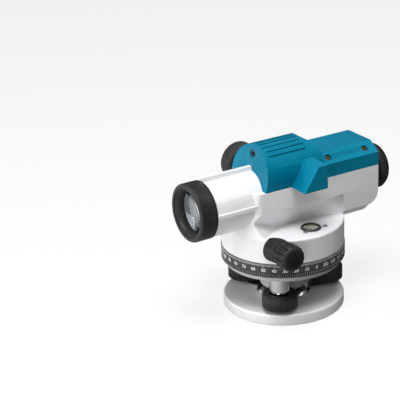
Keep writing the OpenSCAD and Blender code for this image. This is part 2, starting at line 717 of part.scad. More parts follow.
mirror([1, 0, 0]) drive_collar();  // drive_collar_left
drive_knob();  // drive_knob_right
mirror([1, 0, 0]) drive_knob();  // drive_knob_left
drive_wheel();
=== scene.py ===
import json
import math

import bpy
from mathutils import Matrix, Vector


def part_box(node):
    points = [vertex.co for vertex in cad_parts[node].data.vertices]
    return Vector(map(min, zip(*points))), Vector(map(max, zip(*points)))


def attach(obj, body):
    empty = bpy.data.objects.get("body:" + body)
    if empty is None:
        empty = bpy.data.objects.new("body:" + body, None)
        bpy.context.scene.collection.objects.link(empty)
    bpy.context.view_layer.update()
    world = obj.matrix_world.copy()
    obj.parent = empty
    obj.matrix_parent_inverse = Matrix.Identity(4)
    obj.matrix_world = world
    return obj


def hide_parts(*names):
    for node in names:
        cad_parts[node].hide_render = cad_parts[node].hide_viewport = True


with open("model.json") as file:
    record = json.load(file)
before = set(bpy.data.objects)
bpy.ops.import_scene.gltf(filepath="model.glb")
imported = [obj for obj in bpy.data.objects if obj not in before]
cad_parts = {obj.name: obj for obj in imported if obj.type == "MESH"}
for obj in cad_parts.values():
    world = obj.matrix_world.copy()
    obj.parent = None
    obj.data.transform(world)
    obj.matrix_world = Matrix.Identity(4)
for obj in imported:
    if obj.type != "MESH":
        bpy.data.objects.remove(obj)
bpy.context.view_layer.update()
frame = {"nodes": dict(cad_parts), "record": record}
record = frame["record"]

MM = 0.001
TURN = 2 * math.pi
CELL_R = 21.98            # outside radius of the lens cell, in mm
FACES_PER_RIB = 4         # faces round a ribbed piece for one rib and its groove
RIB_FACES = 2.1           # of those, how many the rib takes
KNOB_RIB = 0.68           # height of the ribs on the large knobs, in mm


# ---------------------------------------------------------------- places taken from the frame
def low(node):
    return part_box(node)[0]


def high(node):
    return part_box(node)[1]


def middle(node):
    lo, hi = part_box(node)
    return (lo + hi) / 2


SIGHT = middle("objective_ring").z
CIRCLE_LOW, CIRCLE_TOP = low("horizontal_circle").z, high("horizontal_circle").z
CIRCLE_R = high("horizontal_circle").x
FOOT = [middle("foot_ball_%d" % k) for k in (1, 2, 3)]
BUBBLE = middle("bubble_ring")
SHOULDER = high("bubble_ring").z - 1.6 * MM


# ---------------------------------------------------------------- workshop helpers
def let_go():
    bpy.ops.object.select_all(action="DESELECT")


def take(obj):
    let_go()
    obj.select_set(True)
    bpy.context.view_layer.objects.active = obj
    return obj


def open_mesh(obj, kind="FACE"):
    take(obj)
    bpy.ops.object.mode_set(mode="EDIT")
    bpy.ops.mesh.select_mode(type=kind)
    bpy.ops.mesh.select_all(action="DESELECT")


def shut_mesh():
    bpy.ops.object.mode_set(mode="OBJECT")


def choose(obj, test, kind="polygons"):
    """Selects the faces, edges or vertices whose place passes the test, from edit mode."""
    shut_mesh()
    mesh = obj.data
    for part in ("vertices", "edges", "polygons"):
        flags = [False] * len(getattr(mesh, part))
        getattr(mesh, part).foreach_set("select", flags)
    for item in getattr(mesh, kind):
        item.select = bool(test(item))
    bpy.ops.object.mode_set(mode="EDIT")


def settle(obj):
    """Applies the object's place, so that its mesh holds it and its object sits at the origin."""
    take(obj)
    bpy.ops.object.transform_apply(location=True, rotation=True, scale=True)
    return obj


def modify(obj, kind, **settings):
    take(obj)
    m = obj.modifiers.new(kind.lower(), kind)
    for key, value in settings.items():
        setattr(m, key, value)
    bpy.ops.object.modifier_apply(modifier=m.name)
    return obj


def soften(obj, width, steps=2, angle=32, smooth=None):
    """A small machined or moulded radius on every edge sharper than angle."""
    modify(obj, "BEVEL", width=width, segments=steps, limit_method="ANGLE",
           angle_limit=math.radians(angle), use_clamp_overlap=True, miter_outer="MITER_ARC")
    smooth_by(obj, smooth or angle)
    return modify(obj, "WEIGHTED_NORMAL", keep_sharp=True, weight=80)


def smooth_by(obj, angle=32):
    take(obj)
    bpy.ops.object.shade_smooth_by_angle(angle=math.radians(angle))
    return obj


def turned(name, outline, steps=128, smooth=32):
    """A lathe piece: a ring is extruded along the outline [(radius, height), ...], in mm.
    A radius of 0 at either end closes the piece on its axis, and a closed outline makes a tube."""
    let_go()
    closed = outline[0] == outline[-1]
    points = [(max(r, 0.0) * MM, h * MM) for r, h in outline]
    start = 1 if points[0][0] == 0 else 0
    r, h = points[start]
    bpy.ops.mesh.primitive_circle_add(vertices=steps, radius=r, fill_type="NOTHING", location=(0,
        0, 0))
    obj = bpy.context.object
    obj.name = obj.data.name = name
    bpy.ops.object.mode_set(mode="EDIT")
    bpy.ops.mesh.select_mode(type="VERT")
    bpy.ops.mesh.select_all(action="SELECT")
    bpy.ops.transform.translate(value=(0, 0, h))
    if start:
        bpy.ops.mesh.extrude_region_move(TRANSFORM_OT_translate={"value": (0, 0, points[0][1] - h)})
        bpy.ops.mesh.merge(type="CENTER")
        choose(obj, lambda v: abs(math.hypot(v.co.x, v.co.y) - r) < 1e-7, "vertices")
    for r1, h1 in points[start + 1:]:
        bpy.ops.mesh.extrude_region_move(TRANSFORM_OT_translate={"value": (0, 0, h1 - h)})
        if r1 == 0:
            bpy.ops.mesh.merge(type="CENTER")
            break
        scale = r1 / r
        bpy.ops.transform.resize(value=(scale, scale, 1), center_override=(0, 0, h1))
        r, h = r1, h1
    if closed:
        bpy.ops.mesh.select_all(action="SELECT")
        bpy.ops.mesh.remove_doubles(threshold=1e-7)
    bpy.ops.mesh.select_all(action="SELECT")
    bpy.ops.mesh.normals_make_consistent(inside=False)
    shut_mesh()
    if smooth:
        smooth_by(obj, smooth)
    return obj


def stand(obj, place=(0, 0, 0), towards="Z"):
    """Turns a piece made along +Z to point along another axis, and puts its foot at place."""
    turn = {"Z": (0, 0, 0), "Y": (-90, 0, 0), "-Y": (90, 0, 0), "X": (0, 90, 0),
        "-X": (0, -90, 0)}[towards]
    obj.rotation_euler = [math.radians(t) for t in turn]
    obj.location = place
    return settle(obj)


def raise_ribs(obj, count, height, band):
    """Draws ribs out of a turned piece, within the band of heights in mm."""
    open_mesh(obj)
    step = TURN / count

    def on_rib(face):
        if not band[0] * MM < face.center.z < band[1] * MM:
            return False
        if abs(face.normal.z) > 0.3:
            return False
        angle = math.atan2(face.center.y, face.center.x) % step
        return angle < step * RIB_FACES / FACES_PER_RIB

    choose(obj, on_rib)
    bpy.ops.mesh.extrude_region_shrink_fatten(TRANSFORM_OT_shrink_fatten={"value": height * MM})
    shut_mesh()
    return obj


def from_cad(node, name):
    """A merged copy of a CAD solid, ready for its finishing."""
    source = frame["nodes"][node]
    take(source)
    bpy.ops.object.duplicate(linked=False)
    obj = bpy.context.object
    obj.name = obj.data.name = name
    obj.parent = None
    for key in list(obj.keys()):
        if key.startswith("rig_"):
            del obj[key]
    open_mesh(obj, "VERT")
    bpy.ops.mesh.select_all(action="SELECT")
    bpy.ops.mesh.remove_doubles(threshold=2e-6)
    bpy.ops.mesh.customdata_custom_splitnormals_clear()
    bpy.ops.mesh.dissolve_limited(angle_limit=math.radians(0.6))
    shut_mesh()
    return obj


def fit(obj, body, slot, *nodes):
    """Puts a finished piece on its body, in its finish, in place of the CAD nodes named."""
    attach(obj, body)
    if nodes:
        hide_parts(*nodes)
    obj.data.materials.clear()
    obj.data.materials.append(finishes.get(slot, marks_white))
    return obj


# ---------------------------------------------------------------- finishes
def group(name, inputs, outputs):
    """A shader node group with its sockets made, and its two ends."""
    tree = bpy.data.node_groups.new(name, "ShaderNodeTree")
    for label, kind, value in inputs:
        socket = tree.interface.new_socket(label, in_out="INPUT", socket_type=kind)
        if value is not None:
            socket.default_value = value
    for label, kind in outputs:
        tree.interface.new_socket(label, in_out="OUTPUT", socket_type=kind)
    return tree, tree.nodes.new("NodeGroupInput"), tree.nodes.new("NodeGroupOutput")


def add(tree, kind, **settings):
    node = tree.nodes.new("ShaderNode" + kind)
    for key, value in settings.items():
        if key.startswith("in_"):
            node.inputs[key[3:].replace("_", " ")].default_value = value
        else:
            setattr(node, key, value)
    return node


def sum_up(tree, op, a, b=None, clamp=False):
    node = add(tree, "Math", operation=op, use_clamp=clamp)
    for i, value in enumerate((a, b)):
        if value is None:
            continue
        if hasattr(value, "is_linked"):
            tree.links.new(value, node.inputs[i])
        else:
            node.inputs[i].default_value = value
    return node.outputs[0]


FLOAT, VECTOR = "NodeSocketFloat", "NodeSocketVector"


def grain_group():
    """Fine grain, a slow drift of tone, and small specks, all from the piece's own coordinates."""
    tree, start, end = group("surface_grain", [("Place", VECTOR, None), ("Grain", FLOAT, 4000.0),
                                               ("Drift", FLOAT, 45.0), ("Specks", FLOAT, 900.0)],
                             [("Grain", FLOAT), ("Drift", FLOAT), ("Specks", FLOAT)])
    fine = add(tree, "TexNoise", in_Detail=2.0, in_Roughness=0.6)
    slow = add(tree, "TexNoise", in_Detail=3.0, in_Roughness=0.55)
    dots = add(tree, "TexNoise", in_Detail=4.0, in_Roughness=0.7)
    for node, label in ((fine, "Grain"), (slow, "Drift"), (dots, "Specks")):
        tree.links.new(start.outputs["Place"], node.inputs["Vector"])
        tree.links.new(start.outputs[label], node.inputs["Scale"])
    drift = add(tree, "MapRange", interpolation_type="SMOOTHSTEP")
    drift.inputs["From Min"].default_value, drift.inputs["From Max"].default_value = 0.3, 0.7
    specks = add(tree, "MapRange", interpolation_type="SMOOTHSTEP")
    specks.inputs["From Min"].default_value, specks.inputs["From Max"].default_value = 0.62, 0.72
    tree.links.new(slow.outputs["Fac"], drift.inputs["Value"])
    tree.links.new(dots.outputs["Fac"], specks.inputs["Value"])
    tree.links.new(fine.outputs["Fac"], end.inputs["Grain"])
    tree.links.new(drift.outputs["Result"], end.inputs["Drift"])
    tree.links.new(specks.outputs["Result"], end.inputs["Specks"])
    return tree


def wear_group():
    """Worn edges, and corners for dust and for painted shade, from how sharply the surface turns.
    """
    tree, start, end = group("edge_wear_and_corner_shade", [("Place", VECTOR, None), ("Reach", FLOAT, 0.06),
        ("Breakup", FLOAT, 160.0)],
                             [("Edge", FLOAT), ("Corner", FLOAT)])
    turn = add(tree, "NewGeometry")
    noise = add(tree, "TexNoise", in_Detail=5.0, in_Roughness=0.65)
    tree.links.new(start.outputs["Place"], noise.inputs["Vector"])
    tree.links.new(start.outputs["Breakup"], noise.inputs["Scale"])
    lifted = sum_up(tree, "SUBTRACT", turn.outputs["Pointiness"], 0.5)
    wide = sum_up(tree, "DIVIDE", lifted, start.outputs["Reach"])
    broken = sum_up(tree, "MULTIPLY", wide, sum_up(tree, "ADD", noise.outputs["Fac"], 0.35))
    tree.links.new(sum_up(tree, "MULTIPLY", broken, 1.0, clamp=True), end.inputs["Edge"])
    # Corner: how far creases and recesses turn inward, the mask for dust and for painted shade
    # where shade falls.
    tree.links.new(sum_up(tree, "MULTIPLY", wide, -1.0, clamp=True), end.inputs["Corner"])
    return tree


def turning_group():
    """Fine lathe rings about the vertical or another axis: the height of each ring's groove."""
    tree, start, end = group("lathe_rings", [("Radius", FLOAT, 0.0),
        ("Pitch", FLOAT, 0.00012)], [("Height", FLOAT)])
    rings = sum_up(tree, "DIVIDE", start.outputs["Radius"], start.outputs["Pitch"])
    noise = add(tree, "TexNoise", noise_dimensions="1D", in_Scale=1.0, in_Detail=3.0)
    tree.links.new(rings, noise.inputs["W"])
    tree.links.new(noise.outputs["Fac"], end.inputs["Height"])
    return tree


GRAIN, WEAR_AND_SHADE, RINGS = grain_group(), wear_group(), turning_group()


def place_group(tree, shared):
    node = tree.nodes.new("ShaderNodeGroup")
    node.node_tree = shared
    return node


def blend_colour(tree, factor, a, b, strength=1.0):
    node = add(tree, "Mix", data_type="RGBA")
    scaled = sum_up(tree, "MULTIPLY", factor, strength, clamp=True)
    tree.links.new(scaled, node.inputs["Factor"])
    for i, value in ((6, a), (7, b)):
        if hasattr(value, "is_linked"):
            tree.links.new(value, node.inputs[i])
        else:
            node.inputs[i].default_value = (*value, 1.0)
    return node.outputs[2]


def finish_of(name, colour, drift=None, edge=None, dust_and_shade=None, roughness=0.4, spread=0.08,
              metallic=0.0, bump=0.0, grain=4000.0, specks=None, speck_colour=None,
              edge_strength=0.6, dust_and_shade_strength=0.5, rings=None, **sockets):
    """One material: a drifting tone, worn edges, corners with pale dust on dark pieces and painted
    shade on pale ones, uneven gloss, fine bump.
    """
    material = bpy.data.materials.new(name)
    material.use_nodes = True
    tree = material.node_tree
    shader = tree.nodes["Principled BSDF"]
    shader.inputs["Metallic"].default_value = metallic
    for key, value in sockets.items():
        shader.inputs[key.replace("_", " ")].default_value = value
    where = add(tree, "TexCoord").outputs["Object"]
    fine = place_group(tree, GRAIN)
    fine.inputs["Grain"].default_value = grain
    tree.links.new(where, fine.inputs["Place"])
    tone = blend_colour(tree, fine.outputs["Drift"], colour, drift or [c * 0.88 for c in colour])
    if specks:
        tone = blend_colour(tree, fine.outputs["Specks"], tone, speck_colour, specks)
    if edge or dust_and_shade:
        worn_and_shaded = place_group(tree, WEAR_AND_SHADE)
        tree.links.new(where, worn_and_shaded.inputs["Place"])
        if edge:
            tone = blend_colour(tree, worn_and_shaded.outputs["Edge"], tone, edge, edge_strength)
        # Corners take the dust colour: pale dust on dark pieces, painted shade in creases where
        # that colour is darker than the piece.
        if dust_and_shade:
            tone = blend_colour(tree, worn_and_shaded.outputs["Corner"], tone, dust_and_shade, dust_and_shade_strength)
    tree.links.new(tone, shader.inputs["Base Color"])
    gloss = add(tree, "MapRange")
    gloss.inputs["To Min"].default_value = roughness - spread / 2
    gloss.inputs["To Max"].default_value = roughness + spread / 2
    tree.links.new(fine.outputs["Drift"], gloss.inputs["Value"])
    tree.links.new(gloss.outputs["Result"], shader.inputs["Roughness"])
    if bump or rings:
        relief = add(tree, "Bump", in_Distance=0.00006)
        relief.inputs["Strength"].default_value = bump or rings[2]
        height = fine.outputs["Grain"]
        if rings:
            axes, centre = rings[0], rings[1]
            parts = add(tree, "SeparateXYZ")
            tree.links.new(where, parts.inputs[0])
            squares = [sum_up(tree, "POWER", sum_up(tree, "SUBTRACT", parts.outputs[a], c), 2.0)
                       for a, c in zip(axes, centre)]
            radius = sum_up(tree, "SQRT", sum_up(tree, "ADD", *squares))
            lathe = place_group(tree, RINGS)
            tree.links.new(radius, lathe.inputs["Radius"])
            height = sum_up(tree, "ADD", lathe.outputs["Height"], sum_up(tree, "MULTIPLY", height,
                0.3))
        tree.links.new(height, relief.inputs["Height"])
        tree.links.new(relief.outputs["Normal"], shader.inputs["Normal"])
    return material


def glass_of(name, colour, roughness=0.01, ior=1.52, tint=(1, 1, 1)):
    """Polished optical glass with a faint coating tint and a few dust specks in its gloss."""
    material = bpy.data.materials.new(name)
    material.use_nodes = True
    tree = material.node_tree
    shader = tree.nodes["Principled BSDF"]
    shader.inputs["Transmission Weight"].default_value = 1.0
    shader.inputs["IOR"].default_value = ior
    shader.inputs["Specular Tint"].default_value = (*tint, 1.0)
    where = add(tree, "TexCoord").outputs["Object"]
    fine = place_group(tree, GRAIN)
    tree.links.new(where, fine.inputs["Place"])
    tree.links.new(blend_colour(tree, fine.outputs["Specks"], colour, [c * 0.93 for c in colour]),
                   shader.inputs["Base Color"])
    gloss = add(tree, "MapRange")
    gloss.inputs["To Min"].default_value = roughness
    gloss.inputs["To Max"].default_value = roughness + 0.03
    tree.links.new(fine.outputs["Specks"], gloss.inputs["Value"])
    tree.links.new(gloss.outputs["Result"], shader.inputs["Roughness"])
    return material


# Corner colours darker than their piece (blue cover, silver, grey base, dark casting, bright steel)
# are painted shade in creases; the lighter ones on black pieces and rubber are dust.
finishes = {
    "cover_blue": finish_of(
        "cover_blue", (0.0003, 0.128, 0.212), drift=(0.0003, 0.116, 0.195),
        # corner colour: a darker blue, painted shade in the cover's creases
        edge=(0.005, 0.22, 0.34), dust_and_shade=(0.0, 0.06, 0.11),
        roughness=0.42, spread=0.07, bump=0.16, grain=2600.0, edge_strength=0.55,
        Specular_Tint=(0.01, 0.55, 0.8, 1.0), Specular_IOR_Level=0.42),
    "body_silver": finish_of(
        "body_silver", (0.74, 0.745, 0.755), drift=(0.71, 0.715, 0.73), edge=(0.86, 0.86, 0.87),
        dust_and_shade=(0.42, 0.42, 0.42), roughness=0.38, spread=0.08, metallic=0.12, bump=0.1, grain=3600.0,
        specks=0.3, speck_colour=(0.82, 0.82, 0.83), edge_strength=0.5, dust_and_shade_strength=0.4),
    "base_grey": finish_of(
        "base_grey", (0.78, 0.785, 0.79), drift=(0.74, 0.745, 0.75), edge=(0.88, 0.88, 0.88),
        dust_and_shade=(0.36, 0.36, 0.36),
        roughness=0.36, spread=0.1, metallic=0.15, rings=((0, 1), (0, 0), 0.12), edge_strength=0.7,
        dust_and_shade_strength=0.4),
    "dark_casting": finish_of(
        "dark_casting", (0.30, 0.305, 0.31), drift=(0.26, 0.26, 0.27), edge=(0.5, 0.5, 0.5),
        dust_and_shade=(0.12, 0.12, 0.12), roughness=0.48, metallic=0.3, bump=0.3, grain=1800.0),
    "black_knob": finish_of(
        "black_knob", (0.005, 0.005, 0.0055), drift=(0.008, 0.008, 0.0085),
        edge=(0.10, 0.10, 0.105), dust_and_shade=(0.012, 0.0115, 0.011),
        roughness=0.38, spread=0.12, bump=0.2, grain=3000.0, edge_strength=0.35,
        dust_and_shade_strength=0.6, Specular_IOR_Level=0.16),
    "black_metal": finish_of(
        "black_metal", (0.0045, 0.0048, 0.005), drift=(0.007, 0.007, 0.0075),
        edge=(0.12, 0.12, 0.125), dust_and_shade=(0.01, 0.01, 0.01),
        roughness=0.34, spread=0.1, bump=0.08, edge_strength=0.4, Specular_IOR_Level=0.12),
    "circle_black": finish_of(
        "circle_black", (0.006, 0.006, 0.0065), drift=(0.010, 0.010, 0.0105), edge=(0.3, 0.3, 0.3),
        dust_and_shade=(0.01, 0.01, 0.01),
        roughness=0.26, spread=0.08, bump=0.05, edge_strength=0.4, Specular_IOR_Level=0.16),
    "bright_steel": finish_of(
        "bright_steel", (0.60, 0.60, 0.61), drift=(0.55, 0.55, 0.56),
        roughness=0.12, spread=0.06, metallic=1.0,
        bump=0.03, dust_and_shade=(0.25, 0.25, 0.25), dust_and_shade_strength=0.4),
    "plain_steel": finish_of(
        "plain_steel", (0.52, 0.52, 0.53), drift=(0.44, 0.44, 0.45),
        roughness=0.3, spread=0.12, metallic=1.0, bump=0.1, grain=5000.0),
    "screw_steel": finish_of(
        "screw_steel", (0.02, 0.02, 0.022), drift=(0.03, 0.03, 0.032), edge=(0.12, 0.12, 0.12),
        roughness=0.36, spread=0.12, metallic=0.8, bump=0.1, dust_and_shade=(0.02, 0.02, 0.02)),
    "brass": finish_of(
        "brass", (0.62, 0.42, 0.14), drift=(0.5, 0.33, 0.11),
        roughness=0.28, spread=0.12, metallic=1.0, bump=0.08),
    "eye_rubber": finish_of(
        "eye_rubber", (0.012, 0.012, 0.012), drift=(0.02, 0.02, 0.02), dust_and_shade=(0.05, 0.048, 0.045),
        roughness=0.68, spread=0.12, bump=0.35, grain=2200.0),
    "lens_glass": glass_of("lens_glass", (0.97, 0.99, 1.0), ior=1.75, tint=(0.85, 0.93, 1.0)),
    "vial_glass": glass_of("vial_glass", (0.95, 0.99, 0.86), ior=1.42),
}
marks_white = finish_of("marks_white", (0.80, 0.80, 0.79), drift=(0.70, 0.70, 0.69),
    roughness=0.5, bump=0.05)

for part in record["subparts"]:
    node = frame["nodes"][part["node"]]
    node.data.materials.clear()
    node.data.materials.append(finishes[part["material_slot"]])


# ---------------------------------------------------------------- castings and mouldings
def refine(node, name, body, slot, radius, steps=2, angle=32, smooth=None):
    obj = soften(from_cad(node, name), radius * MM, steps, angle, smooth)
    return fit(obj, body, slot, node)


refine("housing", "cast_housing", "alidade", "body_silver", 0.7, 3, 30, 9)
refine("top_cover", "moulded_cover", "alidade", "cover_blue", 0.6, 3, 25, 12)
refine("base_plate", "round_base", "base", "base_grey", 0.3)
refine("clamp_disc", "bright_clamp", "base", "bright_steel", 0.3)
refine("tribrach", "three_armed_body", "tribrach", "dark_casting", 0.4)
for side in ("right", "left"):
    refine("drive_collar_" + side, "drive_nose_" + side, "alidade", "black_knob", 0.3)
for k in (1, 2, 3, 4):
    refine("cover_screw_%d" % k, "roof_screw_%d" % k, "alidade", "screw_steel", 0.12)
for k in (1, 2):
    refine("bubble_screw_%d" % k, "adjusting_screw_%d" % k, "alidade", "bright_steel", 0.12)
for k in (1, 2, 3):
    refine("clamp_screw_%d" % k, "clamp_fixing_%d" % k, "base", "screw_steel", 0.12)

# ---------------------------------------------------------------- telescope front
front = low("objective_ring").y / MM
hood_r = high("objective_ring").x / MM
lens_r = high("objective_crown").x / MM
hood = turned("objective_hood", [
    (CELL_R, front + 4.3), (lens_r + 0.15, front + 4.0), (lens_r + 0.3, front + 3.2),
    (21.8, front + 0.75), (22.9, front + 0.75), (23.1, front + 0.35), (23.4, front + 0.05),
    (hood_r - 1.7, front), (hood_r - 1.0, front + 0.2), (hood_r - 0.4, front + 0.7),
    (hood_r - 0.08, front + 1.5), (hood_r, front + 2.3), (hood_r, front + 14.6),
    (hood_r - 0.15, front + 15.0), (hood_r - 0.35, front + 15.1), (hood_r - 0.35, front + 15.6),
    (hood_r, front + 15.8), (hood_r, front + 16.6), (hood_r - 0.25, front + 16.9),
    (26.41, front + 16.9), (26.41, front + 16.0), (CELL_R, front + 16.0), (CELL_R, front + 4.3)],
    steps=160, smooth=40)
fit(stand(hood, (0, 0, SIGHT), "Y"), "alidade", "black_metal", "objective_ring")

baffles = []
depth = front + 13.5
while depth < front + 27:
    baffles += [(lens_r - 1.3, depth), (lens_r - 0.7, depth + 0.5)]
    depth += 1.0
rear = low("objective_cell").y / MM
cell = turned("lens_cell", [(CELL_R, rear), (CELL_R, rear + 23.7)] + [(lens_r - 1.2, rear + 23.7)] +
              baffles[::-1] + [(lens_r - 1.2, front + 18.02), (lens_r, front + 18.02),
              (lens_r, rear), (CELL_R, rear)], steps=96, smooth=20)
fit(stand(cell, (0, 0, SIGHT), "Y"), "alidade", "black_metal", "objective_cell")


def bulge(radius, place, rise, count=14):
    """Points of a lens face from its rim to its pole."""
    turns = [math.cos(i / count * math.pi / 2) for i in range(count)]
    return [(radius * c, place + rise * (1 - c ** 2)) for c in turns] + [(0, place + rise)]


crown_lo = low("objective_crown").y / MM
front_lens = turned("front_lens", bulge(lens_r, crown_lo + 2.2, -2.2)[::-1] +
                    [(lens_r, crown_lo + 5.2)] + bulge(lens_r, crown_lo + 5.2, 1.6)[1:],
                    steps=128, smooth=50)
fit(stand(front_lens, (0, 0, SIGHT), "Y"), "alidade", "lens_glass", "objective_crown")

# ---------------------------------------------------------------- eyepiece end
wall = high("housing").y / MM
flange = turned("eyepiece_flange", [
    (9, wall - 9.5), (11.95, wall - 9.5), (11.95, wall + 0.02), (24.1, wall + 0.02),
    (24.5, wall + 0.4), (24.5, wall + 2.6), (24.1, wall + 3.1), (23.3, wall + 3.3),
    (23.1, wall + 3.9), (23.1, wall + 6.5), (22.7, wall + 7.0), (13, wall + 7.0),
    (13, wall + 17.7), (12.7, wall + 18.0), (11, wall + 18.0), (11, wall - 8.5), (9, wall - 8.5),
    (9, wall - 9.5)], steps=144, smooth=35)
fit(stand(flange, (0, 0, SIGHT), "Y"), "alidade", "black_metal", "eyepiece_block")

grip_lo, grip_hi = low("dioptre_ring").y / MM, high("dioptre_ring").y / MM
ring_r = high("dioptre_ring").x / MM
dioptre = turned("dioptre_grip", [
    (13.05, grip_lo), (ring_r - 0.9, grip_lo), (ring_r - 0.5, grip_lo + 0.5),
    (ring_r - 0.5, grip_lo + 1.9), (ring_r - 0.4, grip_lo + 2.1), (ring_r - 0.4, grip_lo + 9.4),
    (ring_r - 0.6, grip_lo + 9.8), (ring_r - 0.9, grip_lo + 10.9),
    (ring_r - 1.7, grip_lo + 12.2), (ring_r - 3.0, grip_hi), (8.4, grip_hi), (8, grip_hi - 0.4),
    (8, grip_hi - 1.8), (13.05, grip_hi - 1.8), (13.05, grip_lo)], steps=288, smooth=35)
raise_ribs(dioptre, 72, 0.4, (grip_lo + 2.0, grip_lo + 9.5))
fit(stand(dioptre, (0, 0, SIGHT), "Y"), "dioptre", "black_knob", "dioptre_ring")

cup_hi = high("eye_cup").y / MM
cup = turned("eye_cup_rubber", [
    (8, grip_hi + 0.01), (15, grip_hi + 0.01), (15.1, grip_hi + 0.6), (14.7, grip_hi + 1.1),
    (14.75, grip_hi + 1.7), (14.4, cup_hi - 0.2), (13.7, cup_hi), (13.0, cup_hi - 0.1),
    (12.4, cup_hi - 0.5), (11.0, grip_hi + 1.5), (9.0, grip_hi + 1.1), (8, grip_hi + 1.0),
    (8, grip_hi + 0.01)], steps=96, smooth=60)
fit(stand(cup, (0, 0, SIGHT), "Y"), "dioptre", "eye_rubber", "eye_cup")

eye_lo, eye_hi = low("eye_lens").y / MM, high("eye_lens").y / MM
eye = turned("eye_lens_glass", bulge(9.2, eye_lo + 2.0, -2.0)[::-1] + [(9.2, eye_hi - 0.6)] +
             bulge(9.2, eye_hi - 0.6, 0.6)[1:], steps=80, smooth=50)
fit(stand(eye, (0, 0, SIGHT), "Y"), "eye", "lens_glass", "eye_lens")

# ---------------------------------------------------------------- focusing knob
knob_in = high("focus_knob").x / MM
knob_mid = middle("focus_knob")
focus = turned("focus_wheel", [
    (0, 13.0), (2.2, 13.0), (2.2, 0.0), (5.5, 0.0), (5.5, 13.0), (15.6, 13.0), (15.6, 0.0),
    (17.0, 0.0), (17.7, 0.5), (17.9, 1.0), (17.9, 14.6), (17.75, 15.4), (17.3, 16.0),
    (16.4, 16.35), (15.2, 16.4), (14.9, 16.3), (14.7, 15.8), (14.2, 15.8), (14.0, 16.3),
    (13.6, 16.8), (12.9, 17.0), (4.0, 17.0), (0, 16.95)], steps=216, smooth=35)
raise_ribs(focus, 54, KNOB_RIB, (1.0, 14.7))
fit(stand(focus, (knob_in * MM, knob_mid.y, knob_mid.z), "-X"),
    "focus_control", "black_knob", "focus_knob")

# ---------------------------------------------------------------- fine-motion knobs
DRIVE = middle("drive_shaft")


def fluted_knob(name, node, towards):
    reach = 18.7
    obj = turned(name, [
        (0, 13.7), (2.5, 13.7), (2.5, 0.0), (9.4, 0.0), (10.3, 0.35), (10.6, 1.0), (10.7, 1.7),
        (11.9, 2.3), (12.2, 3.2), (12.2, 6.0), (12.2, 9.0), (12.2, 12.0), (12.15, 14.2),
        (11.8, 15.7), (11.0, 16.9), (9.8, 17.7), (8.0, 18.2), (5.5, 18.55), (3.0, reach - 0.05),
        (0, reach)], steps=144, smooth=50)
    open_mesh(obj, "VERT")
    step = TURN / 12
    for spread, pull in ((0.5, 0.965), (1.5, 0.968), (2.5, 0.975), (3.5, 0.99)):
        def in_flute(v):
            off = (math.atan2(v.co.y, v.co.x) + step / 2) % step - step / 2
            on_side = 2.2 * MM < v.co.z < 16.2 * MM and math.hypot(v.co.x, v.co.y) > 9.6 * MM
            return on_side and abs(off) < step / 12 * spread + 1e-4

        choose(obj, in_flute, "vertices")
        bpy.ops.transform.resize(value=(pull, pull, 1), center_override=(0, 0, 0.01))
    shut_mesh()
    smooth_by(obj, 50)
    foot = (low(node).x if towards == "X" else high(node).x, DRIVE.y, DRIVE.z)
    return fit(stand(obj, foot, towards), "drive", "black_knob", node)


fluted_knob("drive_grip_right", "drive_knob_right", "X")
fluted_knob("drive_grip_left", "drive_knob_left", "-X")

# ---------------------------------------------------------------- graduated circle
c0, c1, cr = CIRCLE_LOW / MM, CIRCLE_TOP / MM, CIRCLE_R / MM
bore = 24.56
ring = turned("circle_ring", [
    (bore, c0 + 1.9), (cr - 6, c0 + 1.9), (cr - 6, c0), (cr - 1.2, c0), (cr - 0.7, c0 + 0.4),
    (cr - 0.65, c0 + 0.6), (cr - 0.65, c0 + 4.2), (cr - 0.5, c0 + 4.5), (cr - 0.08, c0 + 4.7),
    (cr - 0.05, c0 + 5.0), (cr - 0.05, c1 - 0.5), (cr - 0.15, c1 - 0.2), (cr - 0.5, c1),
    (cr - 5, c1), (cr - 5, c0 + 4.9), (bore, c0 + 4.9), (bore, c0 + 1.9)],
    steps=720, smooth=35)
raise_ribs(ring, 180, 0.6, (c0 + 0.55, c0 + 4.3))
fit(ring, "circle", "circle_black", "horizontal_circle")

ZERO = math.radians(-2.0)


def tick(name, height, degrees, copies):
    """One engraved and filled line, copied round the rim."""
    let_go()
    thick, wide = 0.06 * MM, 0.30 * MM
    bpy.ops.mesh.primitive_cube_add(
        size=1.0, location=((cr - 0.045) * MM, 0, (c1 - 0.6 - height / 2) * MM))
    obj = bpy.context.object
    obj.name = obj.data.name = name
    obj.scale = (thick, wide, height * MM)
    settle(obj)
    open_mesh(obj)
    bpy.ops.mesh.select_all(action="SELECT")
    bpy.ops.mesh.bevel(offset=0.02 * MM, segments=1, affect="EDGES")
    shut_mesh()
    parts = []
    for angle in degrees:
        take(obj)
        bpy.ops.object.duplicate(linked=False)
        one = bpy.context.object
        one.rotation_euler = (0, 0, ZERO - math.radians(angle))
        settle(one)
        open_mesh(one)
        bpy.ops.mesh.select_all(action="SELECT")
        bpy.ops.mesh.spin(steps=copies - 1, dupli=True, angle=TURN * (copies - 1) / copies,
                          center=(0, 0, 0), axis=(0, 0, 1))
        shut_mesh()
        parts.append(one)
    bpy.data.objects.remove(obj)
    return parts


def join(name, parts):
    let_go()
    for p in parts:
        p.select_set(True)
    bpy.context.view_layer.objects.active = parts[0]
    bpy.ops.object.join()
    obj = bpy.context.object
    obj.name = obj.data.name = name
    return obj


lines = (tick("line", 1.7, (1, 2, 3, 4), 72) + tick("line", 2.3, (5,), 36) +
         tick("line", 2.9, (0,), 36))
fit(join("circle_lines", lines), "circle", "marks_white")

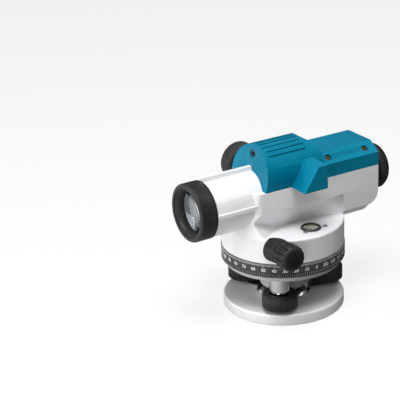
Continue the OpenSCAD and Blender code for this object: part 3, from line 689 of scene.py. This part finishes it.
figures = []
for value in range(0, 360, 10):
    let_go()
    bpy.ops.object.text_add(location=(0, 0, 0))
    text = bpy.context.object
    text.data.body = str(value)
    text.data.size = 4.4 * MM
    text.data.extrude = 0.03 * MM
    text.data.align_x = "CENTER"
    text.data.align_y = "CENTER"
    text.data.resolution_u = 3
    text.data.offset = 0.06 * MM
    bpy.ops.object.convert(target="MESH")
    text = bpy.context.object
    angle = ZERO - math.radians(value)
    right = Vector((-math.sin(angle), math.cos(angle), 0))
    out = Vector((math.cos(angle), math.sin(angle), 0))
    spot = out * (cr - 0.065) * MM + Vector((0, 0, (c0 + 7.2) * MM))
    text.matrix_world = (Matrix.Translation(spot) @
                         Matrix((right, Vector((0, 0, 1)), out)).transposed().to_4x4())
    settle(text)
    for v in text.data.vertices:
        flat = math.hypot(v.co.x, v.co.y)
        depth = v.co.x * out.x + v.co.y * out.y
        v.co.x, v.co.y = v.co.x * depth / flat, v.co.y * depth / flat
    figures.append(text)
fit(join("circle_figures", figures), "circle", "marks_white")

# ---------------------------------------------------------------- foot screws
for k in (1, 2, 3):
    x, y = FOOT[k - 1].x, FOOT[k - 1].y
    body = "foot_" + "abc"[k - 1]
    k0, k1 = low("foot_knob_%d" % k).z / MM, high("foot_knob_%d" % k).z / MM
    grip = turned("foot_grip_%d" % k, [
        (4.0, k0), (14.4, k0), (15.3, k0 + 0.4), (15.8, k0 + 1.2), (15.8, k1 - 1.4),
        (15.6, k1 - 0.8), (15.0, k1 - 0.25), (14.2, k1), (13.1, k1), (12.9, k1 - 0.5),
        (12.3, k1 - 0.5), (12.1, k1), (10.9, k1), (10.4, k1 - 0.3), (10.2, k1 - 0.8),
        (10.2, k1 - 3.4), (4.0, k1 - 3.4), (4.0, k0)], steps=192, smooth=35)
    raise_ribs(grip, 48, KNOB_RIB, (k0 + 1.0, k1 - 1.2))
    fit(stand(grip, (x, y, 0)), body, "black_knob", "foot_knob_%d" % k)
    b0, b1 = low("foot_bush_%d" % k).z / MM, high("foot_bush_%d" % k).z / MM
    barrel = turned("foot_barrel_%d" % k, [
        (0, b1 - 1.2), (4.05, b1 - 1.2), (4.05, b0), (8.7, b0), (9.15, b0 + 0.2),
        (9.3, b0 + 0.6), (9.3, b0 + 1.7), (9.1, b0 + 1.9), (9.1, b0 + 2.3), (9.3, b0 + 2.5),
        (9.3, b0 + 14.6), (7.0, b0 + 14.6), (7.0, b1), (0, b1)],
        steps=96, smooth=32)
    fit(stand(barrel, (x, y, 0)), "tribrach", "bright_steel", "foot_bush_%d" % k)

# ---------------------------------------------------------------- circular bubble
bx, by, top = BUBBLE.x, BUBBLE.y, SHOULDER / MM
bezel = turned("bubble_bezel", [
    (0, top - 3.9), (7.22, top - 3.9), (7.22, top + 0.9), (7.6, top + 1.45), (8.2, top + 1.6),
    (8.9, top + 1.5), (9.4, top + 1.05), (9.6, top + 0.4), (9.6, top), (8.5, top),
    (8.5, top - 5.4), (0, top - 5.4)], steps=96, smooth=50)
fit(stand(bezel, (bx, by, 0)), "alidade", "black_metal", "bubble_ring")
dish = turned("bubble_white_dish", [
    (0, top - 3.88), (7.19, top - 3.88), (7.19, top - 3.82), (0, top - 3.82)], steps=96)
fit(stand(dish, (bx, by, 0)), "alidade", "marks_white")
liquid = turned("bubble_liquid", [
    (0, top - 3.80), (7.15, top - 3.80), (7.15, top + 0.2), (6.6, top + 0.65), (5.0, top + 1.0),
    (2.5, top + 1.2), (0, top + 1.25)], steps=96, smooth=60)
fit(stand(liquid, (bx, by, 0)), "alidade", "vial_glass", "bubble_vial")
mark = turned("bubble_target", [
    (3.3, top + 1.155), (3.3, top + 1.19), (3.75, top + 1.155), (3.75, top + 1.12),
    (3.3, top + 1.155)], steps=72, smooth=0)
fit(stand(mark, (bx, by, 0)), "alidade", "black_metal")

# ---------------------------------------------------------------- stage, light and camera
def ray_kind(tree, camera, glossy, diffuse):
    """One of three strengths: for the camera, for gloss and glass, or for lighting."""
    seen = add(tree, "LightPath")
    polished = sum_up(tree, "MAXIMUM", seen.outputs["Is Glossy Ray"],
                      seen.outputs["Is Transmission Ray"])
    base = sum_up(tree, "MULTIPLY", sum_up(tree, "SUBTRACT", 1.0, polished), diffuse)
    gloss = sum_up(tree, "MULTIPLY", polished, glossy)
    plain = sum_up(tree, "ADD", base, gloss)
    first = sum_up(tree, "MULTIPLY", plain,
                   sum_up(tree, "SUBTRACT", 1.0, seen.outputs["Is Camera Ray"]))
    return sum_up(tree, "ADD", first,
                  sum_up(tree, "MULTIPLY", seen.outputs["Is Camera Ray"], camera))


def floor_and_world():
    let_go()
    bpy.ops.mesh.primitive_plane_add(size=12.0, location=(0, 0, 0))
    floor = bpy.context.object
    floor.name = "floor"
    material = bpy.data.materials.new("floor_pale")
    material.use_nodes = True
    tree = material.node_tree
    tree.nodes.clear()
    out = tree.nodes.new("ShaderNodeOutputMaterial")
    matte = add(tree, "BsdfDiffuse")
    place = add(tree, "SeparateXYZ")
    tree.links.new(add(tree, "TexCoord").outputs["Object"], place.inputs[0])
    # Painted pool of light on the floor, brighter towards the front and left: it lifts the floor's
    # colour for bounce light and gloss rays.
    painted_lit_patch = add(tree, "MapRange", interpolation_type="SMOOTHSTEP")
    painted_lit_patch.inputs["From Min"].default_value, painted_lit_patch.inputs["From Max"].default_value = 0.10, -0.25
    tree.links.new(sum_up(tree, "ADD", place.outputs["Y"],
                          sum_up(tree, "MULTIPLY", place.outputs["X"], 0.35)),
                   painted_lit_patch.inputs["Value"])
    painted_bounce = sum_up(tree, "ADD", sum_up(tree, "MULTIPLY", painted_lit_patch.outputs[0], 0.7), 0.15)
    tree.links.new(ray_kind(tree, 0.8, painted_bounce, painted_bounce), matte.inputs["Color"])
    glow = add(tree, "Emission", in_Color=(1, 1, 1, 1), in_Strength=1.0)
    mix = add(tree, "MixShader")
    # Gloss rays also see the floor glow over that painted pool of light; the camera sees the floor
    # evenly pale.
    tree.links.new(ray_kind(tree, 0.82, sum_up(tree, "MULTIPLY", painted_lit_patch.outputs[0], 0.5), 0.0),
        mix.inputs[0])
    tree.links.new(matte.outputs[0], mix.inputs[1])
    tree.links.new(glow.outputs[0], mix.inputs[2])
    tree.links.new(mix.outputs[0], out.inputs[0])
    floor.data.materials.append(material)
    world = bpy.data.worlds.new("studio")
    bpy.context.scene.world = world
    world.use_nodes = True
    tree = world.node_tree
    sky = tree.nodes["Background"]
    towards = add(tree, "SeparateXYZ")
    tree.links.new(add(tree, "TexCoord").outputs["Generated"], towards.inputs[0])
    overhead = add(tree, "MapRange", interpolation_type="SMOOTHSTEP")
    overhead.inputs["From Min"].default_value, overhead.inputs["From Max"].default_value = 0.2, 0.95
    tree.links.new(towards.outputs["Z"], overhead.inputs["Value"])
    left = add(tree, "MapRange", interpolation_type="SMOOTHSTEP")
    left.inputs["From Min"].default_value, left.inputs["From Max"].default_value = 0.1, 0.9
    lean = sum_up(tree, "ADD", sum_up(tree, "MULTIPLY", towards.outputs["X"], -0.62),
                  sum_up(tree, "MULTIPLY", towards.outputs["Y"], -0.78))
    tree.links.new(lean, left.inputs["Value"])
    tent = sum_up(tree, "ADD", sum_up(tree, "MULTIPLY", overhead.outputs[0], 0.5),
                  sum_up(tree, "MULTIPLY", left.outputs[0], 0.6))
    tree.links.new(ray_kind(tree, 1.0, sum_up(tree, "ADD", tent, 0.04), 0.10),
        sky.inputs["Strength"])
    sky.inputs["Color"].default_value = (1, 1, 1, 1)


def lamp(name, place, aim, size, power):
    data = bpy.data.lights.new(name, "AREA")
    data.shape, data.size, data.size_y, data.energy = "RECTANGLE", size, size, power
    obj = bpy.data.objects.new(name, data)
    bpy.context.scene.collection.objects.link(obj)
    obj.location = place
    obj.rotation_euler = (Vector(aim) - Vector(place)).to_track_quat("-Z", "Y").to_euler()


floor_and_world()
HEART = (0, 0, 0.09)
lamp("key", (-0.42, -1.10, 0.40), HEART, 1.0, 9.5)
lamp("top", (0.26, -0.20, 1.16), HEART, 0.6, 15.0)
lamp("low_front", (0.42, -0.62, 0.16), (0, -0.05, 0.10), 0.45, 1.9)
lamp("behind", (0.35, 0.75, 0.95), HEART, 0.6, 1.6)

camera_data = bpy.data.cameras.new("camera")
camera = bpy.data.objects.new("camera", camera_data)
bpy.context.scene.collection.objects.link(camera)
bpy.context.scene.camera = camera
azimuth, elevation, lean = (math.radians(a) for a in (59.4187, 21.8971, -2.0797))
back = Vector((math.sin(azimuth) * math.cos(elevation), -math.cos(azimuth) * math.cos(elevation),
    math.sin(elevation)))
side = Vector((math.cos(azimuth), math.sin(azimuth), 0))
up = back.cross(side)
side, up = side * math.cos(lean) + up * math.sin(lean), up * math.cos(lean) - side * math.sin(lean)
camera.matrix_world = (Matrix.Translation((1.1026656, -0.7399545, 0.6374915)) @
                       Matrix((side, up, back)).transposed().to_4x4())
camera_data.sensor_width = 36.0
camera_data.lens = 138.92
camera_data.clip_start, camera_data.clip_end = 0.05, 50.0

bpy.context.scene.view_settings.view_transform = "Standard"
